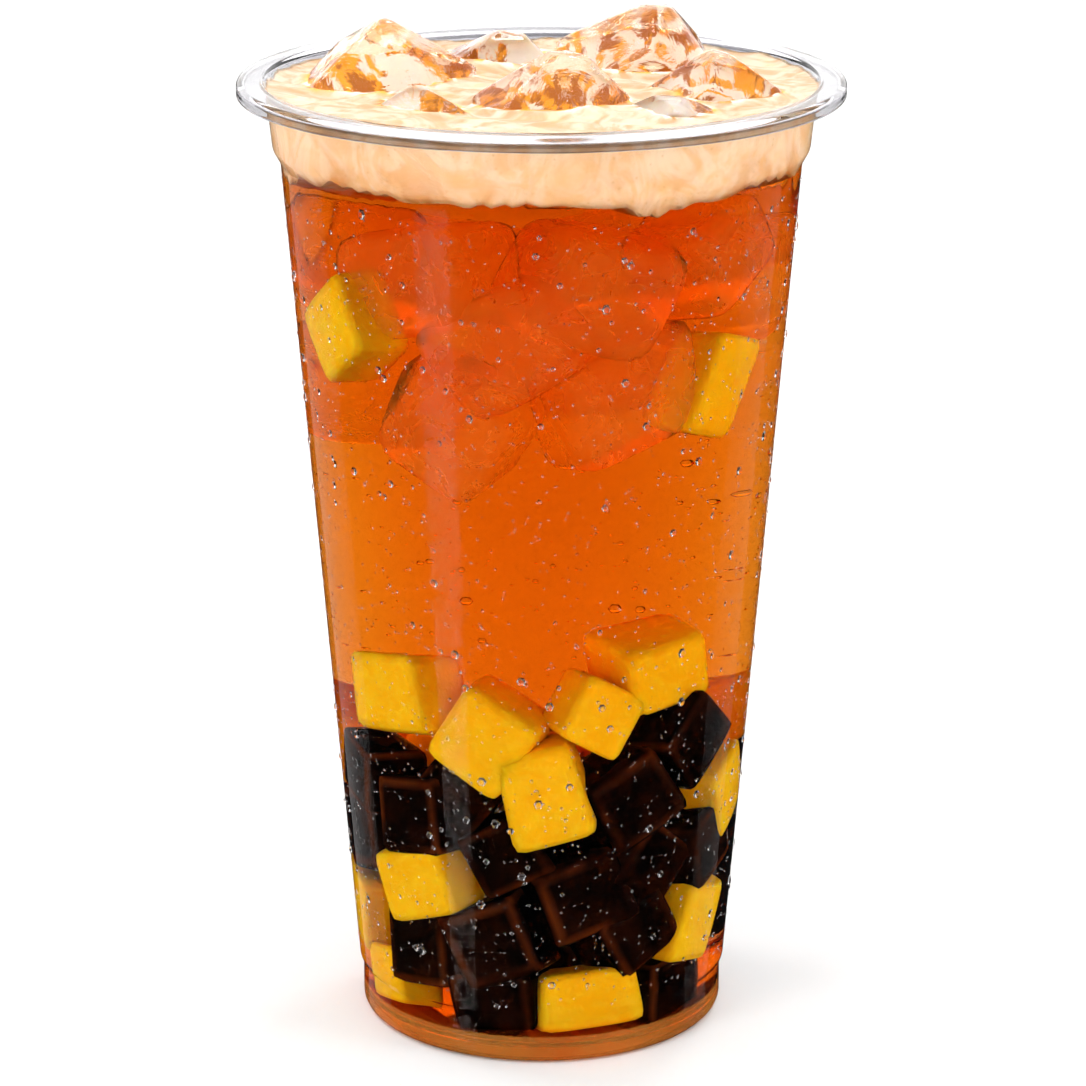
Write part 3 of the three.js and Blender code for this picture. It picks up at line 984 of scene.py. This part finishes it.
def fill_blocks(taken, count, low, high, smallest, largest, crispness, seed):
    """Blocks at seeded random places, each kept if its sphere is clear of the spheres already taken."""
    chance = np.random.default_rng(seed)
    parts = []
    for _ in range(FILL_TRIES):
        if len(parts) == count:
            break
        size = chance.uniform(smallest, largest)
        height = chance.uniform(low, high)
        reach = (wall_inside(height) - FILL_INSET * size) * math.sqrt(chance.uniform(0, 1))
        angle = chance.uniform(0, 2 * math.pi)
        lifted = max(height, FLOOR_TOP + FILL_LIFT * size)
        middle = np.array([reach * math.cos(angle), reach * math.sin(angle), lifted])
        if any(np.linalg.norm(middle - place) < FILL_GAP * (size + other) for place, other in taken):
            continue
        taken.append((middle, size))
        yaw, roll, pitch = chance.uniform(0, 90, 3)
        turn = spin(2, yaw) @ spin(0, roll) @ spin(1, pitch)
        half = size / 2 * chance.uniform(0.85, 1.1, 3)
        parts.append((block(half, crispness, seed + len(parts)) @ turn.T + middle, CUBE_FACES))
    return parts


def middles_of(parts):
    """The middle of each block and the size of the cube that it about fills."""
    return [(points.mean(axis=0), np.ptp(points, axis=0).mean() * BLOCK_FILL) for points, _ in parts]


# %% [markdown]
# Ripe mango is gold all through, faintly fibrous, and light goes a little way
# in. Under tea its gloss nearly vanishes, because the two bend light almost
# alike, so its IOR is that of fruit against tea and not against air.

# %% Ripe mango


def ripe_mango():
    """Gold flesh with paler fibres and some light scattered below the surface."""
    finish = Finish("ripe_mango", Roughness=0.32, IOR=1.06)
    finish.shader.inputs["Subsurface Weight"].default_value = 0.45
    finish.shader.inputs["Subsurface Radius"].default_value = (1.0, 0.55, 0.1)
    finish.shader.inputs["Subsurface Scale"].default_value = 2.0 * MM
    flesh = finish.pattern(MOTTLE, Scale=110.0, Low=0.35, High=0.68, Warp=1.5)
    fibre = finish.pattern(MOTTLE, Scale=700.0, Low=0.45, High=0.65)
    gold = finish.blend(flesh, (1.0, 0.52, 0.006), (1.0, 0.6, 0.012))
    finish.feed("Base Color", finish.blend(finish.spread(fibre, 0.0, 0.3), gold, (1.0, 0.68, 0.03)))
    finish.bump(fibre, 0.2, 0.2)
    return finish.material


MANGO_CRISP, JELLY_CRISP = 10, 16
mango_parts = front_blocks(MANGO_FRONT + to_the_back(MANGO_FRONT), MANGO_CRISP, 100)
jelly_parts = front_blocks(JELLY_FRONT + to_the_back(JELLY_FRONT), JELLY_CRISP, 300)
taken = middles_of(mango_parts) + middles_of(jelly_parts)
mango_parts += fill_blocks(taken, 6, 8, 50, 11.5, 14.5, MANGO_CRISP, 42)
jelly_parts += fill_blocks(taken, 12, 4, 46, 11.5, 13.5, JELLY_CRISP, 41)
put_piece("mango_cubes", *joined(mango_parts), ripe_mango(), "mango")
print(len(mango_parts), "mango cubes,", len(jelly_parts), "jelly cubes")

# %% [markdown]
# Dark jelly swallows nearly all light but lets a red-brown glow through where
# it is thin. A true volume would do that slowly. Here each point of a cube
# keeps how near an edge it is, and the material glows there.

# %% Dark jelly


def dark_jelly():
    """Nearly black jelly; a red-brown glow marks the thin edges, where light gets through."""
    finish = Finish("dark_jelly", Roughness=0.12, IOR=1.07)
    cloud = finish.pattern(MOTTLE, Scale=160.0, Low=0.4, High=0.7)
    patch = finish.pattern(MOTTLE, Scale=60.0, Low=0.35, High=0.7)
    body = finish.blend(cloud, (0.004, 0.0008, 0.0005), (0.016, 0.003, 0.001))
    glow = finish.blend(patch, (0.01, 0.0016, 0.0008), (0.1, 0.022, 0.005))
    finish.feed("Base Color", finish.blend(finish.attribute("edge"), body, glow))
    finish.feed("Roughness", finish.spread(cloud, 0.08, 0.25))
    return finish.material


jelly = put_piece("jelly_cubes", *joined(jelly_parts), dark_jelly(), "jelly")
keep_values(jelly, "edge", np.tile(CUBE_EDGE, len(jelly_parts)))

# %% [markdown]
# Ice in tea is all but invisible: it bends light almost as tea does. What is seen is the tea that it pushes
# aside. So these lumps hardly refract, are frosted soft and have a golden tint painted on, as painted light
# for the tea's amber glow.

# %% Sunk ice
SUNK_CRISP = 6


def sunk_ice():
    """Frosted, nearly index-matched glass with a golden tint painted on as painted light for the tea's glow.
    """
    finish = Finish("sunk_ice", Roughness=0.3, IOR=1.03, Transmission_Weight=0.93)
    frost = finish.pattern(MOTTLE, Scale=130.0, Low=0.35, High=0.7, Warp=2.0)
    # Painted light: the golden tint stands for the amber glow of the tea around the ice.
    finish.feed("Base Color", finish.blend(frost, (1.0, 0.86, 0.45), (1.0, 0.74, 0.28)))
    finish.feed("Roughness", finish.spread(frost, 0.2, 0.45))
    return finish.material


SUNK_ICE_FRONT = [
    (-44, 131, 24, 17, 20, 12, 6), (18, 131, 22, 18, 20, -20, 6),
    (62, 134, 18, 16, 18, 25, 6), (-12, 121, 20, 18, 18, 35, 6),
    (30, 112, 22, 18, 20, 15, 6), (-32, 108, 20, 16, 18, -25, 6),
    (100, 126, 22, 18, 20, 10, 6), (150, 132, 22, 18, 20, -15, 6),
    (-150, 128, 24, 18, 20, 20, 6), (-100, 131, 20, 18, 18, 30, 6),
    (175, 112, 20, 18, 18, 8, 6), (-120, 108, 20, 16, 18, 40, 6),
]
ice_parts = front_blocks(SUNK_ICE_FRONT, SUNK_CRISP, 500)
put_piece("sunk_ice", *joined(ice_parts), sunk_ice(), "ice")

# %% [markdown]
# ## Condensation
#
# A cold cup is covered with fine drops. Each drop is a flat-bottomed dome, a
# grid of a few rings, set on the wall with its axis along the wall's normal.
# All drops are worked out at once as one array of shape drops x points x 3 and
# joined in one mesh, so nothing has to be instanced.

# %% Drops on the wall
DROP_COUNT = 5000
DROP_SIDES = 6
DROP_RINGS = 3
DROP_FOOT = 0.25
DROP_FLATNESS = 0.55
DROP_DROOP = (1, 1.3)
DROP_LOW, DROP_HIGH = 10, 144
DROP_SMALLEST, DROP_SPREAD, DROP_LARGEST, DROP_RARITY = 0.1, 0.12, 0.6, 14


def drop_shape():
    """A dome of unit radius: rings at rising angles and two poles; a triangle repeats its last corner."""
    climb = np.linspace(0, np.pi / 2, DROP_RINGS + 1)[:-1]
    angle = np.linspace(0, 2 * np.pi, DROP_SIDES, endpoint=False)
    out, up = np.cos(climb)[:, None], np.sin(climb)[:, None]
    ring = np.stack([out * np.cos(angle), out * np.sin(angle), up + 0 * angle], axis=-1).reshape(-1, 3)
    closed = closed_faces(DROP_RINGS, DROP_SIDES)
    faces = [face + face[-1:] if len(face) == 3 else face for face in closed]
    return np.vstack([ring, [[0, 0, -DROP_FOOT], [0, 0, 1]]]), np.array(faces)


def drops_on_wall(count, seed):
    """Drops at random places, with sizes by a steep power law, flattened and a little drawn down."""
    chance = np.random.default_rng(seed)
    shape, faces = drop_shape()
    height = chance.uniform(DROP_LOW, DROP_HIGH, count)
    angle = chance.uniform(0, 2 * np.pi, count)
    size = DROP_SMALLEST + DROP_SPREAD * chance.uniform(0, 1, count)
    size = size + DROP_LARGEST * chance.uniform(0, 1, count) ** DROP_RARITY
    outward = np.interp(height, WALL_HEIGHTS, WALL_RADII)
    slope = (TAPER_RADIUS - STEP_RADIUS) / (BAND_LOW - STEP_HIGH)
    normal = np.stack([np.cos(angle), np.sin(angle), np.full(count, -slope)], axis=-1)
    normal /= np.linalg.norm(normal, axis=1, keepdims=True)
    along = np.stack([-np.sin(angle), np.cos(angle), 0 * angle], axis=-1)
    upward = np.cross(normal, along)
    middle = np.stack([outward * np.cos(angle), outward * np.sin(angle), height], axis=-1)
    droop = chance.uniform(*DROP_DROOP, count)[:, None]
    frame_of = np.stack([along, upward * droop, normal * DROP_FLATNESS], axis=1)
    points = np.einsum("pk,dkx->dpx", shape, frame_of) * size[:, None, None] + middle[:, None, :]
    rows = faces[None] + (np.arange(count) * len(shape))[:, None, None]
    return points.reshape(-1, 3), [list(dict.fromkeys(row)) for row in rows.reshape(-1, 4).tolist()]


def water_drop():
    """Clear water with the faintest haze."""
    finish = Finish("water_drop", Roughness=0.0, IOR=1.33, Transmission_Weight=1.0)
    haze = finish.pattern(MOTTLE, Scale=400.0, Low=0.4, High=0.7)
    finish.feed("Base Color", finish.blend(haze, (1.0, 1.0, 1.0), (0.97, 0.98, 1.0)))
    return finish.material


put_piece("condensation", *drops_on_wall(DROP_COUNT, 7), water_drop(), "clear_plastic")
